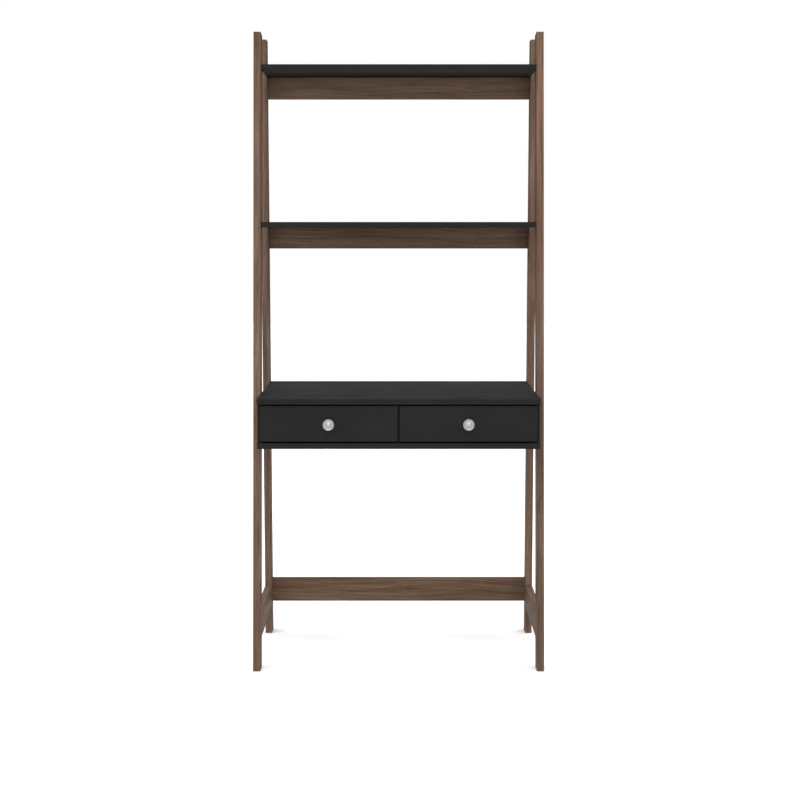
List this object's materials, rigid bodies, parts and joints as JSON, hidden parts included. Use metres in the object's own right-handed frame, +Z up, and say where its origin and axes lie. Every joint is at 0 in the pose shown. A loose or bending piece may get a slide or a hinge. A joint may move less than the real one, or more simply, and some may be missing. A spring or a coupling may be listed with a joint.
{
  "type": "computer desk",
  "caption": "Ladder-frame computer desk: walnut-look leaning posts carry open black shelves over a black desk box with side-by-side drawers on roller runners.",
  "frame": {"origin": "on the floor, under the middle of the overall box", "axes": "+X to the right of a person at the desk, +Y to the rear, +Z up"},
  "size_m": [0.8, 0.476, 1.748],
  "materials": {
    "walnut": "satin walnut-look foil",
    "black_laminate": "satin black laminate",
    "drawer_board": "matt dark melamine",
    "knob_metal": "satin nickel",
    "runner_steel": "epoxy coat",
    "roller_plastic": "moulded nylon",
    "zinc_screws": "zinc plated",
    "beech_dowels": "plain beech"
  },
  "bodies": {
    "frame": {"left_front_post": "walnut", "left_rear_post": "walnut", "left_side_rail": "walnut", "right_front_post": "walnut", "right_rear_post": "walnut", "right_side_rail": "walnut", "lower_rear_rail": "walnut", "middle_shelf_rail": "walnut", "upper_shelf_rail": "walnut", "middle_shelf": "black_laminate", "upper_shelf": "black_laminate", "desk_top": "black_laminate", "desk_bottom": "black_laminate", "desk_left_side": "black_laminate", "desk_right_side": "black_laminate", "desk_divider": "black_laminate", "desk_back": "black_laminate", "left_outer_channel": "runner_steel", "left_inner_channel": "runner_steel", "right_outer_channel": "runner_steel", "right_inner_channel": "runner_steel", "frame_screws": "zinc_screws", "desk_screws": "zinc_screws", "channel_screws": "zinc_screws", "side_rail_dowels": "beech_dowels", "desk_dowels": "beech_dowels"},
    "left_drawer": {"left_drawer_front": "black_laminate", "left_drawer_outer_side": "drawer_board", "left_drawer_inner_side": "drawer_board", "left_drawer_back": "drawer_board", "left_drawer_bottom": "drawer_board", "left_drawer_outer_runner": "runner_steel", "left_drawer_inner_runner": "runner_steel", "left_drawer_dowels": "beech_dowels", "left_drawer_screws": "zinc_screws", "left_drawer_runner_screws": "zinc_screws", "left_knob": "knob_metal", "left_knob_screw": "zinc_screws"},
    "left_front_rollers": {"left_front_rollers": "roller_plastic"},
    "left_rear_rollers": {"left_rear_rollers": "roller_plastic"},
    "right_drawer": {"right_drawer_front": "black_laminate", "right_drawer_outer_side": "drawer_board", "right_drawer_inner_side": "drawer_board", "right_drawer_back": "drawer_board", "right_drawer_bottom": "drawer_board", "right_drawer_outer_runner": "runner_steel", "right_drawer_inner_runner": "runner_steel", "right_drawer_dowels": "beech_dowels", "right_drawer_screws": "zinc_screws", "right_drawer_runner_screws": "zinc_screws", "right_knob": "knob_metal", "right_knob_screw": "zinc_screws"},
    "right_front_rollers": {"right_front_rollers": "roller_plastic"},
    "right_rear_rollers": {"right_rear_rollers": "roller_plastic"}
  },
  "joints": [
    {"name": "left_drawer_slide", "type": "slide", "parent": "frame", "child": "left_drawer", "axis": [0, -1, 0], "range_m": [0, 0.26]},
    {"name": "left_front_rollers_turn", "type": "hinge", "parent": "frame", "child": "left_front_rollers", "pos_m": [-0.18625, -0.181, 0.652], "axis": [1, 0, 0], "continuous": true},
    {"name": "left_rear_rollers_turn", "type": "hinge", "parent": "left_drawer", "child": "left_rear_rollers", "pos_m": [-0.18625, 0.141, 0.652], "axis": [1, 0, 0], "continuous": true},
    {"name": "right_drawer_slide", "type": "slide", "parent": "frame", "child": "right_drawer", "axis": [0, -1, 0], "range_m": [0, 0.26]},
    {"name": "right_front_rollers_turn", "type": "hinge", "parent": "frame", "child": "right_front_rollers", "pos_m": [0.18625, -0.181, 0.652], "axis": [1, 0, 0], "continuous": true},
    {"name": "right_rear_rollers_turn", "type": "hinge", "parent": "right_drawer", "child": "right_rear_rollers", "pos_m": [0.18625, 0.141, 0.652], "axis": [1, 0, 0], "continuous": true}
  ],
  "couplings": [
    {"joint": "left_front_rollers_turn", "follows": "left_drawer_slide", "rad_per_m": 125},
    {"joint": "left_rear_rollers_turn", "follows": "left_drawer_slide", "rad_per_m": 125},
    {"joint": "right_front_rollers_turn", "follows": "right_drawer_slide", "rad_per_m": 125},
    {"joint": "right_rear_rollers_turn", "follows": "right_drawer_slide", "rad_per_m": 125}
  ]
}
